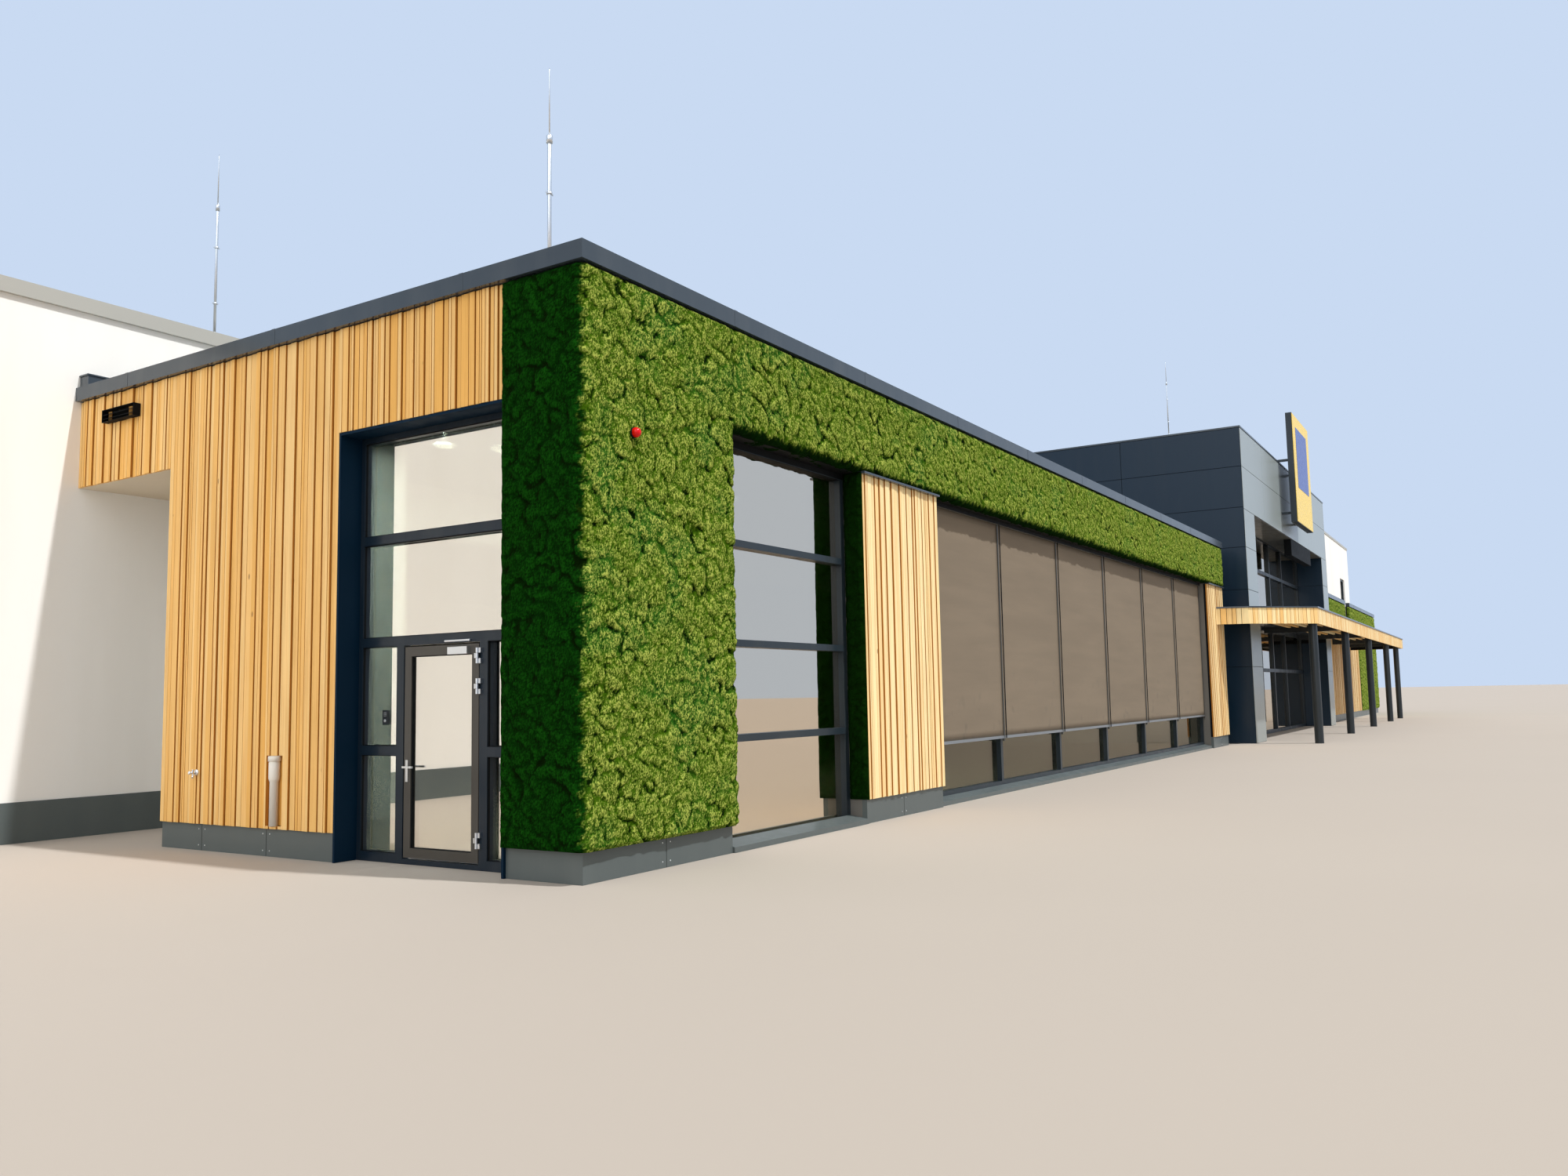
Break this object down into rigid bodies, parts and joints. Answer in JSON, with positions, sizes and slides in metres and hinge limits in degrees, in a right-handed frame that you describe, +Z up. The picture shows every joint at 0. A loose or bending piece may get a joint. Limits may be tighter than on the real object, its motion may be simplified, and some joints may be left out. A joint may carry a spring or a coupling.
{
  "type": "supermarket building, half-size model",
  "caption": "Low supermarket with a moss and timber clad wing, a dark entrance tower, a timber edged canopy and a white sales hall behind, as a half-size model.",
  "frame": {"origin": "centre of the building's outline, on the ground", "axes": "+X along the street front away from the wing's free corner, +Y from the street front into the building, +Z up"},
  "size_m": [38.976, 19.7024, 6],
  "materials": {
    "white_render": "matte",
    "concrete": "matte",
    "anthracite_panel": "satin",
    "dark_frame": "satin",
    "roof_edge_metal": "satin",
    "grey_coping": "satin",
    "roof_membrane": "matte",
    "moss": "matte",
    "larch_boards": "matte",
    "clear_glass": "gloss",
    "screen_fabric": "matte",
    "light_metal": "satin",
    "sign_yellow": "gloss",
    "canopy_steel": "satin",
    "beacon_red": "gloss"
  },
  "bodies": {
    "building": {"alarm_beacon": "beacon_red", "call_box": "dark_frame", "canopy_beams": "canopy_steel", "canopy_columns": "canopy_steel", "canopy_fascia": "larch_boards", "canopy_roof": "roof_edge_metal", "door_frame": "dark_frame", "door_lining": "anthracite_panel", "end_timber": "larch_boards", "fixed_glass": "clear_glass", "fixed_hinges": "light_metal", "flat_roofs": "roof_membrane", "front_timber": "larch_boards", "ground_floor": "concrete", "hall_back_wall": "white_render", "hall_front_wall": "white_render", "hall_side_walls": "white_render", "lightning_rods": "light_metal", "passage_ceiling": "white_render", "plinths": "anthracite_panel", "right_moss": "moss", "right_walls": "concrete", "roof_coping": "grey_coping", "roof_fascia": "roof_edge_metal", "screen_bars": "light_metal", "screen_guides": "dark_frame", "sign_box": "dark_frame", "sign_face": "sign_yellow", "sun_screens": "screen_fabric", "tower_back_wall": "anthracite_panel", "tower_coping": "roof_edge_metal", "tower_front_head": "anthracite_panel", "tower_glazing_frame": "dark_frame", "tower_side_walls": "anthracite_panel", "upper_walls": "white_render", "vent_box": "dark_frame", "water_taps": "light_metal", "window_frames": "dark_frame", "wing_head_wall": "concrete", "wing_inner_walls": "white_render", "wing_moss": "moss", "wing_walls": "concrete"},
    "door": {"door_leaf": "dark_frame", "door_leaf_glass": "clear_glass", "door_fittings": "light_metal"}
  },
  "joints": [
    {"name": "door_hinge", "type": "hinge", "parent": "building", "child": "door", "pos_m": [-15.331, -7.87125, 0.5655], "axis": [0, 0, 1], "range_deg": [0, 95]}
  ]
}
